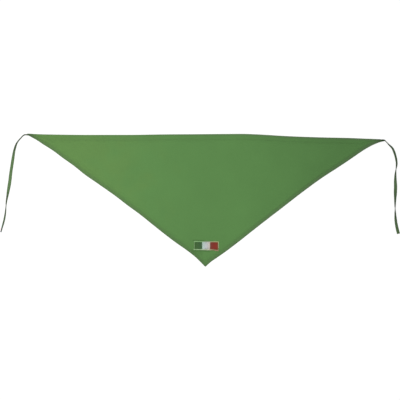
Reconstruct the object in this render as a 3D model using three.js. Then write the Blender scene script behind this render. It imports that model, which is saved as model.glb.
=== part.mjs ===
// A triangular neckerchief with a tie at each end of its long edge. It lies flat with its face up.
// Millimetres, +Z up, +X along the long edge, the tip towards -Y.
// The origin is the middle of the whole outline, on the surface that it lies on.
import * as THREE from 'three';

// Panel of cloth
const LONG_EDGE = 716; // from corner to corner
const DEPTH = 261.5; // from the long edge down to the tip
const TIP_ALONG = 0.503; // share of the long edge
const CORNER_WIDTH = 3; // of the blunt end that the tie is sewn to
const CLOTH = 1; // wall
const NECK_BOW = 6.5; // most that the long edge bows out
const LEFT_BOW = 8.8; // most that the left edge bows in
const RIGHT_BOW = 13.7; // most that the right edge bows in
const SWELL = 4; // height of the highest swell in the cloth
const ROLL_REACH = 40; // from a corner in, over which the cloth comes down flat
const LEFT_ROLL = 55; // degrees at the corner, where the tie rolls the neck edge up
const RIGHT_ROLL = 55; // there the lower edge is up

// Hems, turned under the edges
const NECK_HEM = 12;
const SIDE_HEM = 8; // square to its slanting edge
const HEM_THICKNESS = 1;
const HEM_RAMP = 7; // over which the cloth comes down off a hem
const HEM_MARGIN = 0.8; // of cloth past the hem's inner fold before it comes down
const FLAG_MARGIN = 8; // of level cloth over the flag, down to the tip
const LEVEL_BLEND = 30; // above it, over which the cloth comes down

// Ties, folded tape
const TIE_WIDTH = 6.5;
const TIE_THICKNESS = 1.5;
const LEFT_TIE = 210; // length from the corner to the cut end
const RIGHT_TIE = 196;
const FOLD_REACH = 0.35; // of the rounding of its folds, as a share of the thickness
const FOLD_FLAT = 0.25; // half the flat that is left on a fold, as the same share

// Embroidered flag of three upright stripes in a narrow border
const FLAG_WIDTH = 50;
const FLAG_HEIGHT = 18;
const FLAG_BORDER = 1.8;
const FLAG_THICKNESS = 0.8;
const FLAG_RISE = 43; // from the tip up to its middle
const FLAG_ACROSS = 3.7; // right of the long edge's middle

const GAP = 0.3; // between pieces that touch

// How far each edge bows, as a share of its bow, at places given as shares of the edge.
const NECK_EDGE = [
  { place: 0, bow: 0 },
  { place: 0.05, bow: -0.01 },
  { place: 0.14, bow: 0 },
  { place: 0.22, bow: 0.11 },
  { place: 0.3, bow: 0.25 },
  { place: 0.38, bow: 0.51 },
  { place: 0.47, bow: 0.71 },
  { place: 0.56, bow: 0.92 },
  { place: 0.61, bow: 1 },
  { place: 0.65, bow: 0.89 },
  { place: 0.72, bow: 0.55 },
  { place: 0.81, bow: 0.31 },
  { place: 0.9, bow: 0.22 },
  { place: 0.95, bow: 0.09 },
  { place: 1, bow: 0 },
];
// From the corner to the tip
const LEFT_EDGE = [
  { place: 0, bow: 0 },
  { place: 0.05, bow: 0.47 },
  { place: 0.09, bow: 0.6 },
  { place: 0.14, bow: 0.82 },
  { place: 0.2, bow: 0.8 },
  { place: 0.26, bow: 0.88 },
  { place: 0.32, bow: 0.72 },
  { place: 0.4, bow: 0.87 },
  { place: 0.5, bow: 1 },
  { place: 0.56, bow: 0.91 },
  { place: 0.63, bow: 0.94 },
  { place: 0.72, bow: 0.72 },
  { place: 0.78, bow: 0.59 },
  { place: 0.84, bow: 0.57 },
  { place: 0.9, bow: 0.66 },
  { place: 0.95, bow: 0.53 },
  { place: 0.975, bow: 0.28 },
  { place: 1, bow: 0 },
];
const RIGHT_EDGE = [
  { place: 0, bow: 0 },
  { place: 0.025, bow: 0.28 },
  { place: 0.07, bow: 0.61 },
  { place: 0.115, bow: 0.76 },
  { place: 0.2, bow: 0.81 },
  { place: 0.27, bow: 0.89 },
  { place: 0.34, bow: 1 },
  { place: 0.4, bow: 1 },
  { place: 0.47, bow: 0.92 },
  { place: 0.56, bow: 0.75 },
  { place: 0.65, bow: 0.6 },
  { place: 0.74, bow: 0.41 },
  { place: 0.83, bow: 0.22 },
  { place: 0.89, bow: 0.14 },
  { place: 0.95, bow: 0.16 },
  { place: 0.975, bow: 0.155 },
  { place: 1, bow: 0 },
];

// Low swells where the cloth doesn't quite touch the surface. The middle of each is given along
// the long edge and down the depth, its reach and length as shares of the depth, its turn in
// degrees from the long edge, and its height as a share of the highest.
const SWELLS = [
  { along: 0.21, down: 0.17, reach: 0.19, length: 0.4, turn: -12, height: 0.85 },
  { along: 0.28, down: 0.42, reach: 0.15, length: 0.26, turn: -36, height: 0.6 },
  { along: 0.39, down: 0.64, reach: 0.12, length: 0.17, turn: -42, height: 0.45 },
  { along: 0.59, down: 0.06, reach: 0.2, length: 0.45, turn: 4, height: 1 },
  { along: 0.65, down: 0.58, reach: 0.13, length: 0.19, turn: 38, height: 0.5 },
  { along: 0.77, down: 0.33, reach: 0.14, length: 0.24, turn: 34, height: 0.65 },
  { along: 0.85, down: 0.11, reach: 0.13, length: 0.22, turn: 10, height: 0.75 },
];

// Where each tie lies, out from its corner and down, as shares of its length, and how far it is
// turned about its own line, in degrees: at 0 its face is up, at 90 it stands on its edge.
const LEFT_TIE_LINE = [
  { out: -0.0015, down: 0, turn: 70 }, // drawn in, to meet the corner
  { out: 0.023, down: 0, turn: 82 },
  { out: 0.062, down: 0.036, turn: 88 },
  { out: 0.094, down: 0.077, turn: 84 },
  { out: 0.116, down: 0.137, turn: 66 },
  { out: 0.131, down: 0.223, turn: 44 },
  { out: 0.147, down: 0.338, turn: 40 },
  { out: 0.16, down: 0.452, turn: 28 },
  { out: 0.175, down: 0.557, turn: 54 },
  { out: 0.189, down: 0.653, turn: 88 },
  { out: 0.195, down: 0.738, turn: 112 },
  { out: 0.206, down: 0.815, turn: 122 },
  { out: 0.223, down: 0.882, turn: 116 },
  { out: 0.238, down: 0.935, turn: 112 },
];
const RIGHT_TIE_LINE = [
  { out: 0, down: 0, turn: -88 },
  { out: 0.033, down: 0.042, turn: -80 },
  { out: 0.077, down: 0.0865, turn: -54 },
  { out: 0.096, down: 0.128, turn: -48 },
  { out: 0.112, down: 0.181, turn: -50 },
  { out: 0.1205, down: 0.25, turn: -62 },
  { out: 0.1145, down: 0.3, turn: -82 },
  { out: 0.1105, down: 0.345, turn: -104 },
  { out: 0.11, down: 0.4, turn: -124 },
  { out: 0.114, down: 0.481, turn: -164 },
  { out: 0.1125, down: 0.572, turn: -214 },
  { out: 0.111, down: 0.655, turn: -245 },
  { out: 0.113, down: 0.737, turn: -278 },
  { out: 0.121, down: 0.829, turn: -307 },
  { out: 0.1385, down: 0.91, turn: -320 },
  { out: 0.15, down: 0.951, turn: -326 },
];

const STRIPES = [
  { name: 'flag_green', share: 0.31, color: 0x46693c },
  { name: 'flag_white', share: 0.35, color: 0xb9bec3 },
  { name: 'flag_red', share: 0.34, color: 0x8c3228 },
];

// How finely the cloth and the ties are divided
const COLUMNS = 36; // from each corner to the tip
const INNER_ROWS = 12; // between the hems
const STEPS_PER_ROW = 4; // along a tie, for each row of its table
const HEM_SHARE = 0.42; // the most of a narrow stretch of cloth that one hem takes
const RAMP_SHARE = 0.3; // the most of the open cloth that one ramp takes

const CLOTH_ROUGHNESS = 0.9;
const THREAD_ROUGHNESS = 0.6;

function material(color, roughness) {
  return new THREE.MeshStandardMaterial({ color, roughness, metalness: 0 });
}

const cloth = material(0x5b8a4b, CLOTH_ROUGHNESS);
const tape = material(0x587c4a, CLOTH_ROUGHNESS);
const borderThread = material(0xa9b69b, THREAD_ROUGHNESS);

// One column of a table as a smooth line over another.
function smoothLine(rows, place, value) {
  const line = new THREE.CubicInterpolant(
    rows.map((row) => row[place]),
    rows.map((row) => row[value]),
    1,
  );
  return (at) => line.evaluate(at)[0];
}

// A closed body between two sheets of points, with the same columns and rows.
function closedSheet(name, upper, lower, look) {
  const columns = upper.length;
  const rows = upper[0].length;
  const points = [...upper.flat(), ...lower.flat()];
  const above = (c, r) => c * rows + r;
  const below = (c, r) => columns * rows + c * rows + r;
  const faces = [];
  for (let c = 0; c + 1 < columns; c += 1) {
    for (let r = 0; r + 1 < rows; r += 1) {
      faces.push(above(c, r), above(c, r + 1), above(c + 1, r));
      faces.push(above(c + 1, r), above(c, r + 1), above(c + 1, r + 1));
      faces.push(below(c, r), below(c + 1, r), below(c, r + 1));
      faces.push(below(c + 1, r), below(c + 1, r + 1), below(c, r + 1));
    }
  }
  const rim = [];
  for (let r = 0; r + 1 < rows; r += 1) rim.push([0, r]);
  for (let c = 0; c + 1 < columns; c += 1) rim.push([c, rows - 1]);
  for (let r = rows - 1; r > 0; r -= 1) rim.push([columns - 1, r]);
  for (let c = columns - 1; c > 0; c -= 1) rim.push([c, 0]);
  rim.forEach((place, k) => {
    const next = rim[(k + 1) % rim.length];
    faces.push(above(...place), below(...place), above(...next));
    faces.push(above(...next), below(...place), below(...next));
  });
  return body(name, points, faces, look);
}

// A closed body through a line of rings, with flat ends.
function loft(name, rings, look) {
  const sides = rings[0].length;
  const faces = [];
  for (let k = 0; k + 1 < rings.length; k += 1) {
    for (let side = 0; side < sides; side += 1) {
      const a = k * sides + side;
      const b = k * sides + ((side + 1) % sides);
      faces.push(a, b, a + sides);
      faces.push(b, b + sides, a + sides);
    }
  }
  const end = (rings.length - 1) * sides;
  for (let side = 1; side + 1 < sides; side += 1) {
    faces.push(0, side + 1, side);
    faces.push(end, end + side, end + side + 1);
  }
  return body(name, rings.flat(), faces, look);
}

function body(name, points, faces, look) {
  const geometry = new THREE.BufferGeometry().setFromPoints(points);
  geometry.setIndex(faces);
  geometry.computeVertexNormals();
  const mesh = new THREE.Mesh(geometry, look);
  mesh.name = name;
  return mesh;
}

const neckBow = smoothLine(NECK_EDGE, 'place', 'bow');
const leftBow = smoothLine(LEFT_EDGE, 'place', 'bow');
const rightBow = smoothLine(RIGHT_EDGE, 'place', 'bow');

// The long edge and the lower edges, as heights at a share of the long edge.
function neckEdge(along) {
  return NECK_BOW * neckBow(along);
}

function lowerEdge(along) {
  const left = along <= TIP_ALONG;
  const toTip = left ? along / TIP_ALONG : (1 - along) / (1 - TIP_ALONG);
  const bow = left ? LEFT_BOW * leftBow(toTip) : RIGHT_BOW * rightBow(toTip);
  return bow - CORNER_WIDTH - (DEPTH - CORNER_WIDTH) * toTip;
}

function acrossAt(along) {
  return (along - 0.5) * LONG_EDGE;
}

// Height of the swells over the surface.
function swellAt(x, y) {
  let height = 0;
  for (const swell of SWELLS) {
    const turn = THREE.MathUtils.degToRad(swell.turn);
    const right = x - acrossAt(swell.along);
    const up = y + swell.down * DEPTH;
    const lengthwise = (right * Math.cos(turn) + up * Math.sin(turn)) / (swell.length * DEPTH);
    const sideways = (up * Math.cos(turn) - right * Math.sin(turn)) / (swell.reach * DEPTH);
    const left = Math.max(0, 1 - lengthwise ** 2 - sideways ** 2);
    height += SWELL * swell.height * left ** 2;
  }
  return height;
}

// Height of the rolled corners over the surface.
function rollAt(along, y) {
  const left = along <= TIP_ALONG;
  const inward = (left ? along : 1 - along) * LONG_EDGE;
  const share = Math.max(0, 1 - inward / ROLL_REACH) ** 2;
  const slope = THREE.MathUtils.degToRad((left ? LEFT_ROLL : RIGHT_ROLL) * share);
  const fromLowSide = left ? y - lowerEdge(along) : neckEdge(along) - y;
  return fromLowSide * Math.tan(slope);
}

// How far each hem reaches in from its edge, straight down the column. Near the corners both
// narrow together, so that they never meet.
function hemsAt(along) {
  const across = neckEdge(along) - lowerEdge(along);
  const side = along <= TIP_ALONG ? TIP_ALONG : 1 - TIP_ALONG;
  const slope = Math.atan2(DEPTH, side * LONG_EDGE);
  return {
    across,
    neck: Math.min(NECK_HEM, HEM_SHARE * across),
    side: Math.min(SIDE_HEM / Math.cos(slope), HEM_SHARE * across),
  };
}

const HEM_LIFT = HEM_THICKNESS + GAP; // of the cloth that lies on a hem

// How far the cloth has come down from the hems at a height: not at all from the flag to the
// tip, where the thread and the two hems hold it level.
function cameDown(y) {
  const level = FLAG_MARGIN + FLAG_HEIGHT / 2 + FLAG_RISE - DEPTH;
  return THREE.MathUtils.smoothstep(y, level, level + LEVEL_BLEND);
}

// Rows of one column of the panel: how far below the neck edge, and how far off the swell.
function panelRows(along) {
  const { across, neck, side } = hemsAt(along);
  const open = across - neck - side;
  const ramp = Math.min(HEM_RAMP, RAMP_SHARE * open);
  const margin = Math.min(HEM_MARGIN, RAMP_SHARE * ramp);
  const down = THREE.MathUtils.smoothstep(open, 0, HEM_RAMP / RAMP_SHARE);
  const first = neck + ramp;
  const last = across - side - ramp;
  const rows = [
    { below: 0, lift: HEM_LIFT },
    { below: neck + margin, lift: HEM_LIFT },
  ];
  for (let k = 0; k <= INNER_ROWS; k += 1) {
    const below = first + ((last - first) * k) / INNER_ROWS;
    rows.push({ below, lift: HEM_LIFT * (1 - down * cameDown(neckEdge(along) - below)) });
  }
  rows.push({ below: across - side - margin, lift: HEM_LIFT });
  rows.push({ below: across, lift: HEM_LIFT });
  return rows;
}

function columnsFrom(start, end) {
  const list = [];
  for (let k = 0; k <= COLUMNS; k += 1) {
    list.push(start + ((end - start) * k) / COLUMNS);
  }
  return list;
}

function makePanel() {
  const columns = [...columnsFrom(0, TIP_ALONG), ...columnsFrom(TIP_ALONG, 1).slice(1)];
  const sheet = (thickness) => columns.map((along) => panelRows(along).map((row) => {
    const x = acrossAt(along);
    const y = neckEdge(along) - row.below;
    const z = swellAt(x, y) + rollAt(along, y) + row.lift + thickness;
    return new THREE.Vector3(x, y, z);
  }));
  return closedSheet('panel', sheet(CLOTH), sheet(0), cloth);
}

// A strip of cloth under an edge. The edges of each column come from upperAt and lowerAt.
function makeHem(name, columns, upperAt, lowerAt) {
  const sheet = (thickness) => columns.map((along) => {
    const x = acrossAt(along);
    return [upperAt(along), lowerAt(along)].map((y) => (
      new THREE.Vector3(x, y, swellAt(x, y) + rollAt(along, y) + thickness)
    ));
  });
  return closedSheet(name, sheet(HEM_THICKNESS), sheet(0), cloth);
}

function makeHems() {
  const mitre = GAP / 2 / LONG_EDGE;
  const neckInner = (along) => neckEdge(along) - hemsAt(along).neck;
  const sideInner = (along) => lowerEdge(along) + hemsAt(along).side;
  const whole = [...columnsFrom(0, TIP_ALONG), ...columnsFrom(TIP_ALONG, 1).slice(1)];
  return [
    makeHem('neck_hem', whole, neckEdge, neckInner),
    makeHem('hem_left', columnsFrom(0, TIP_ALONG - mitre), sideInner, lowerEdge),
    makeHem('hem_right', columnsFrom(TIP_ALONG + mitre, 1), sideInner, lowerEdge),
  ];
}

// Half the section of a tie: a flat tape with rounded folds, across its width and its thickness.
function tieSection() {
  const half = TIE_WIDTH / 2;
  const thick = TIE_THICKNESS / 2;
  const flat = half - TIE_THICKNESS * FOLD_REACH;
  const fold = TIE_THICKNESS * FOLD_FLAT;
  return [
    [half, -fold], [half, fold], [flat, thick], [-flat, thick],
    [-half, fold], [-half, -fold], [-flat, -thick], [flat, -thick],
  ];
}

// A tie from its corner. It stands on the surface all the way, on its face or on its edge.
function makeTie(name, rows, length, side) {
  const flat = rows.map((row) => new THREE.Vector3(side * row.out, -row.down, 0));
  const scale = length / new THREE.CatmullRomCurve3(flat).getLength();
  const curve = new THREE.CatmullRomCurve3(flat.map((point) => point.multiplyScalar(scale)));
  const turns = rows.map((row, k) => ({ at: k / (rows.length - 1), turn: row.turn }));
  const turnAt = smoothLine(turns, 'at', 'turn');
  const corner = new THREE.Vector3(
    side * (LONG_EDGE / 2 + GAP + TIE_THICKNESS / 2),
    -CORNER_WIDTH / 2,
    0,
  );
  const section = tieSection();
  const steps = (rows.length - 1) * STEPS_PER_ROW;
  const rings = [];
  for (let k = 0; k <= steps; k += 1) {
    const tangent = curve.getTangent(k / steps);
    const turn = THREE.MathUtils.degToRad(side * turnAt(k / steps));
    const sideways = new THREE.Vector3(-tangent.y, tangent.x, 0).normalize();
    const wide = sideways.clone().applyAxisAngle(tangent, turn);
    const thick = wide.clone().applyAxisAngle(tangent, Math.PI / 2);
    const middle = curve.getPoint(k / steps).add(corner);
    const ring = section.map(([across, through]) => (
      middle.clone().addScaledVector(wide, across).addScaledVector(thick, through)
    ));
    const lowest = Math.min(...ring.map((point) => point.z));
    ring.forEach((point) => point.setZ(point.z - lowest));
    rings.push(ring);
  }
  return loft(name, rings, tape);
}

// A flat plate of thread on the panel, which is level on its hems there.
function makePlate(name, shape, look) {
  const settings = { depth: FLAG_THICKNESS, bevelEnabled: false };
  const geometry = new THREE.ExtrudeGeometry(shape, settings);
  const plate = new THREE.Mesh(geometry, look);
  plate.name = name;
  plate.position.set(FLAG_ACROSS, FLAG_RISE - DEPTH, HEM_LIFT + CLOTH + GAP);
  return plate;
}

function rectangle(left, right, half) {
  return [
    new THREE.Vector2(left, -half), new THREE.Vector2(right, -half),
    new THREE.Vector2(right, half), new THREE.Vector2(left, half),
  ];
}

function makeFlag() {
  const halfWidth = FLAG_WIDTH / 2;
  const halfHeight = FLAG_HEIGHT / 2;
  const innerHalf = halfHeight - FLAG_BORDER;
  const inner = FLAG_WIDTH - 2 * FLAG_BORDER;
  const frame = new THREE.Shape(rectangle(-halfWidth, halfWidth, halfHeight));
  frame.holes.push(new THREE.Path(rectangle(-inner / 2, inner / 2, innerHalf)));
  const plates = [makePlate('flag_border', frame, borderThread)];
  let start = -inner / 2;
  for (const stripe of STRIPES) {
    const end = start + stripe.share * inner;
    const right = stripe === STRIPES.at(-1) ? end - GAP : end;
    const field = new THREE.Shape(rectangle(start + GAP, right, innerHalf - GAP));
    plates.push(makePlate(stripe.name, field, material(stripe.color, THREAD_ROUGHNESS)));
    start = end;
  }
  return plates;
}

const neckerchief = new THREE.Group();
neckerchief.add(makePanel(), ...makeHems());
neckerchief.add(makeTie('tie_left', LEFT_TIE_LINE, LEFT_TIE, -1));
neckerchief.add(makeTie('tie_right', RIGHT_TIE_LINE, RIGHT_TIE, 1));
neckerchief.add(...makeFlag());

// The origin goes to the middle of the outline, at the bottom.
const bounds = new THREE.Box3().setFromObject(neckerchief);
const middle = bounds.getCenter(new THREE.Vector3());
neckerchief.position.set(-middle.x, -middle.y, -bounds.min.z);

export default neckerchief;
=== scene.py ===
"""A triangular neckerchief of green twill, laid flat with its face up, with its turned hems, its
two ties and the small tricolour stitched above its tip.

Sizes are in millimetres in the row frame: +X along the neck edge, the tip towards -Y and the
floor at 0. The meshes are made in metres."""
import math

import bpy
import numpy as np
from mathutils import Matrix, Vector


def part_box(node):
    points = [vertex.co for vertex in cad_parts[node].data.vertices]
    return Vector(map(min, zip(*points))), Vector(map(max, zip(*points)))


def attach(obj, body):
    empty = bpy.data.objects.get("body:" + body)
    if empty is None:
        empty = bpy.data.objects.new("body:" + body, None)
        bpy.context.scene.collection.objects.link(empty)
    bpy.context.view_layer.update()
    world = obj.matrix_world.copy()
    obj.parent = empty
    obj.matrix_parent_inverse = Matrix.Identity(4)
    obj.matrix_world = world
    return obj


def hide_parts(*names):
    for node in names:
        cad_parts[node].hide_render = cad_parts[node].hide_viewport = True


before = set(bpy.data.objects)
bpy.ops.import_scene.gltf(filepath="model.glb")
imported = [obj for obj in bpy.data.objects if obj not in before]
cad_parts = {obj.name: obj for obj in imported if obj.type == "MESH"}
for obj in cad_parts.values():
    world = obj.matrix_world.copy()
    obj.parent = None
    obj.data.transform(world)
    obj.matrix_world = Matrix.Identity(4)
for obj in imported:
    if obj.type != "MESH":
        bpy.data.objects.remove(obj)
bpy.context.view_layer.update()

MM = 0.001

# Cloth
LAYER = 0.35  # one layer of twill
FLOOR_GAP = 0.2  # under the cloth where it rests
HEM_STACK = 1.25  # the cloth and the hem turned twice under it
CORNER_STACK = 2.1  # at a corner, with the end of a tie in between
CORNER_SWELLS = 9.0  # from a corner in, over which its stack thins out
CORNER_SHADE = 11.0  # from a corner in, over which painted shade darkens its gathered cloth
LEFT_CORNER_SHADE = 0.8  # how strong that painted shade is
RIGHT_CORNER_SHADE = 1.3
RIM_CORE = 0.2  # share of each rim's reach, in from its edge, before it fades
LOW_RIM = 7.5  # from a lower edge in, over which painted shade darkens the folded cloth
NECK_RIM = 4.5
NECK_RIM_LEFT = 0.1  # how strong that is at the left end, where it is 1 at the right end
LIT_FROM = (0, 70)  # x over which painted light on part of the face sets in
LIT_TO = (130, 250)  # and dies away
LIT = 0.05
EDGE_SHADE_TURNS = (-60, 240)  # where the painted shade of the edges turns from its left to its right colour
COOL_REACH = 420.0  # across the cloth, against the noise, in its turn from warm to cool
COOL_TURNS = (-0.6, -0.12)  # of the two together, where that turn starts and ends
TAPE_FADES = 3600.0  # how slowly painted light on the ties fades to the right
LIP = 0.7  # of cloth past the outer fold, under the edge
TIP_BLUNT = 0.5
COLUMN_STEP = 1.8  # between the columns of the panel's mesh
MIDDLE_ROWS = 48  # between the hems
FOLD_STEPS = 7
NECK_ROWS = [0, 0.6, 1.4, 2.6, 4, 5.6, 7.2, 8.6, 9.4, 9.9, 10.5, 11.4, 12.4, 13.6, 15, 17]
SIDE_ROWS = [0, 0.6, 1.4, 2.6, 4, 5.1, 5.8, 6.4, 7, 7.8, 8.8, 10, 11.4, 13]
ROWS_REACH = 0.42  # of a narrow stretch of cloth that each of these lists takes

# Hems
NECK_HEM = 12.0
SIDE_HEM = 8.0
HEM_MOST = 0.42  # of a narrow stretch of cloth that one hem takes
RAMP = 5.5  # over which the cloth comes down off a hem
SEAM_IN = 1.4  # from the hem's inner fold out to its stitches
SEAM_DIP = 0.22
SEAM_DIP_REACH = 0.7
HEM_STEP = 4.0
HEM_START = 12.0  # from a corner in, where there is room for a hem between the folds
HEM_END = 2.5  # from the tip, on each side
HEM_CLEARANCE = 0.05  # over and under a hem
HEM_IN_FOLD = 0.4  # share of the lip past which a hem starts
HEM_CUT = 0.25  # depth of the notch between the hem's two cut layers
FLAG_MARGIN = 8.0  # of level cloth over the flag
LEVEL_BLEND = 30.0
FLAG_LIFT = 0.9  # of the cloth that the dense stitching stiffens
FLAG_REACH = 34.0
FLAG_SPREAD = 1.4  # how much further that reaches sideways

# Lie of the cloth
SWELL = 4.0
ROLL_REACH = 40.0
LEFT_ROLL = 58.0
RIGHT_ROLL = 58.0
SLOW_WAVES = 0.3
SOFT_WAVES = 0.12
RISE_BLEND = 0.3  # how softly the cloth meets the floor
PUCKER = 0.11  # height of the puckers along the stitching
NECK_PUCKERS = 9.0  # their reach from the neck hem's inner fold
SIDE_PUCKERS = 8.0
FLAG_PUCKERS = 3.0  # their reach round a line beside the flag
FLAG_PUCKERS_OUT = 4.0  # from the flag out to that line
SWELLS = [
    {"along": 0.21, "down": 0.17, "reach": 0.19, "length": 0.4, "turn": -12, "height": 0.85},
    {"along": 0.28, "down": 0.42, "reach": 0.15, "length": 0.26, "turn": -36, "height": 0.6},
    {"along": 0.39, "down": 0.64, "reach": 0.12, "length": 0.17, "turn": -42, "height": 0.45},
    {"along": 0.59, "down": 0.06, "reach": 0.2, "length": 0.45, "turn": 4, "height": 1},
    {"along": 0.65, "down": 0.58, "reach": 0.13, "length": 0.19, "turn": 38, "height": 0.5},
    {"along": 0.77, "down": 0.33, "reach": 0.14, "length": 0.24, "turn": 34, "height": 0.65},
    {"along": 0.85, "down": 0.11, "reach": 0.13, "length": 0.22, "turn": 10, "height": 0.75},
]

# Ties
TIE_WIDTH = 6.5
TIE_THICKNESS = 1.5
TIE_GAP = 0.3  # from the corner to the tie's root
LEFT_TIE = 210.0
RIGHT_TIE = 196.0
ROOT_INSIDE = 5.0  # of each tie, between the layers of its corner
ROOT_WIDTH = 4.4
ROOT_OPENS = 12.0  # over which a tie comes to its full width
ROOT_TUCK = 0.9  # of a tie's root in towards its corner
TOP_STARTS = 0.68  # share of the height of a standing tie where painted shade on its top starts
TOP_ENDS = 0.95
LOW_SHARE = 0.12  # how much of that painted shade it has below
TIE_STEP = 0.8
TIE_SEAM = 1.4  # from the tie's open edge in to its stitches
# The tape's face, from near its open edge across to near its fold, with the groove of its seam
TIE_FACE = [
    {"inward": 0.95, "rise": 0},
    {"inward": TIE_SEAM, "rise": -0.16},
    {"inward": 1.85, "rise": -0.01},
    {"inward": 2.85, "rise": 0.05},
    {"inward": 4.65, "rise": 0.04},
    {"inward": 5.55, "rise": 0},
]
CLEFT = 0.45  # depth of the cleft between the tape's two lips
TIE_EDGE = 0.9  # in from each edge of the tape, over which it is a little darker
ROOT_STEPS = 5  # rings of each tie between the layers of its corner
ROOT_DEPTH = 0.4  # below the face there, as a share of the tape's thickness
ROOT_SQUEEZE = 0.7  # of the thickness there
ROOT_NARROW = 0.9  # of the root's width there
SWAY = 0.03  # radians that a tie's twist wanders
SWAY_STARTS = 15.0  # over which that grows to its full strength
WIDTH_CHANGE = 0.025
PUFF = 0.06  # change of thickness along a tie, as a share
HOVER = 0.25  # that a tie rises off the floor and comes down again
STANDS_FROM = 0.72  # sine of its turn from which a tie counts as standing
STANDS_BLEND = 0.25
LEFT_TIE_LINE = [
    {"out": -0.0015, "down": 0, "turn": 70},
    {"out": 0.023, "down": 0, "turn": 82},
    {"out": 0.062, "down": 0.036, "turn": 88},
    {"out": 0.094, "down": 0.077, "turn": 84},
    {"out": 0.116, "down": 0.137, "turn": 66},
    {"out": 0.131, "down": 0.223, "turn": 44},
    {"out": 0.147, "down": 0.338, "turn": 40},
    {"out": 0.16, "down": 0.452, "turn": 28},
    {"out": 0.175, "down": 0.557, "turn": 54},
    {"out": 0.189, "down": 0.653, "turn": 88},
    {"out": 0.195, "down": 0.738, "turn": 112},
    {"out": 0.206, "down": 0.815, "turn": 122},
    {"out": 0.223, "down": 0.882, "turn": 116},
    {"out": 0.238, "down": 0.935, "turn": 112},
]
RIGHT_TIE_LINE = [
    {"out": 0, "down": 0, "turn": -88},
    {"out": 0.033, "down": 0.042, "turn": -74},
    {"out": 0.077, "down": 0.0865, "turn": -54},
    {"out": 0.096, "down": 0.128, "turn": -48},
    {"out": 0.112, "down": 0.181, "turn": -50},
    {"out": 0.1205, "down": 0.25, "turn": -62},
    {"out": 0.1145, "down": 0.3, "turn": -82},
    {"out": 0.1105, "down": 0.345, "turn": -104},
    {"out": 0.11, "down": 0.4, "turn": -124},
    {"out": 0.114, "down": 0.481, "turn": -164},
    {"out": 0.1125, "down": 0.572, "turn": -214},
    {"out": 0.111, "down": 0.655, "turn": -245},
    {"out": 0.113, "down": 0.737, "turn": -278},
    {"out": 0.121, "down": 0.829, "turn": -307},
    {"out": 0.1385, "down": 0.91, "turn": -320},
    {"out": 0.15, "down": 0.951, "turn": -326},
]

# Twill and thread, in the finishes
RIB_PITCH = 0.78
THREAD_PITCH = 0.39
WEAVE_RELIEF = 0.09
PLY_PITCH = 1.1
PLY_RELIEF = 0.06
BODY_SHEEN = {"Specular_IOR_Level": 0.25, "Sheen_Roughness": 0.5}

# Threads
THREAD_TAPER = 0.45  # at both ends of each stitch
SEWING_THREAD = 0.32
STITCH = 2.6  # pitch
STITCH_RISE = 0.14
STITCH_SINK = 0.16
SHADE_CHANGE = 0.08
SEAM_START = 9.0  # from a corner in
SEAM_END = 1.5  # from the tip, on each side
TIE_THREAD = 0.26
TIE_STITCH = 2.3  # pitch
TIE_STITCH_START = 3.0  # from the corner
TIE_STITCH_END = 1.5  # from the cut end
TACKS = 12  # stitches across each corner
TACK_START = 1.2  # from the corner in
TACK_PITCH = 0.32
TACK_SLANT = 0.25
TACK_SHADE = {-1: 0.6, 1: 0.4}  # painted shade of their thread at the left and at the right corner
TACK_INSET = {"neck": 0.5, "low": 0.7}  # of their ends from the two edges
LOOSE_THREAD = 0.24
LOOSE_START = 5.2  # from the corner in
LOOSE_LENGTH = 6.0
FLAG_THREAD = 0.46
FLAG_PITCH = 0.4
BORDER_WIDTH = 1.9
FLAG_DIP = 1.5  # of its lower right corner
DIP_FROM = 0.7  # share of the flag's length
DIP_BLEND = 0.28
DIP_DEPTH = 6.0  # up from the flag's lower side
FILL_STITCH = 4.6
SHORTEST_STITCH = 0.5
PAD = 0.35  # of thread under the top stitches
PAD_RIM = [0, 0.12, 0.4, 0.9]  # rows in from the pad's edge, where it is rounded off
PAD_STEP = 1.6
PAD_SINK = 0.12
BORDER_OVERSHOOT = 1.2  # of the long sides past the left corners
BORDER_SHORT = 1.3  # of the left side at both ends
BORDER_DROP = 0.25
BORDER_BULGE = 0.4  # of the right side
BORDER_SLANT = 0.22
LEFT_NARROW = 0.75  # width of the left side, as a share of the others'

# Dyes of the flag's threads, as linear albedo, by share of the way from one end to the other
GREEN_DYES = {
    0: (0.059, 0.172, 0.035),
    0.5: (0.057, 0.162, 0.042),
    1: (0.052, 0.146, 0.060),
}
WHITE_DYES = {
    0: (0.56, 0.76, 0.66),
    0.25: (0.64, 0.75, 0.74),
    0.5: (0.69, 0.72, 0.77),
    0.75: (0.74, 0.73, 0.71),
    1: (0.82, 0.66, 0.61),
}
RED_DYES = {
    0: (0.25, 0.065, 0.04),
    0.25: (0.29, 0.038, 0.022),
    0.6: (0.33, 0.031, 0.013),
    1: (0.335, 0.035, 0.014),
}
TOP_DYES = {
    0: (0.34, 0.62, 0.28),
    0.3: (0.34, 0.62, 0.28),
    0.42: (0.40, 0.55, 0.34),
    0.62: (0.42, 0.52, 0.36),
    0.75: (0.54, 0.56, 0.30),
    1: (0.52, 0.60, 0.30),
}
RIGHT_DYES = {
    0: (0.50, 0.56, 0.30),
    0.5: (0.56, 0.52, 0.32),
    1: (0.46, 0.36, 0.24),
}
BOTTOM_DYES = {
    0: (0.44, 0.66, 0.37),
    0.3: (0.44, 0.62, 0.38),
    0.36: (0.70, 0.78, 0.60),
    0.62: (0.84, 0.80, 0.68),
    0.7: (0.60, 0.36, 0.28),
    1: (0.50, 0.24, 0.20),
}
LEFT_DYES = {
    0: (0.26, 0.41, 0.21),
    1: (0.26, 0.41, 0.21),
}

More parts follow.
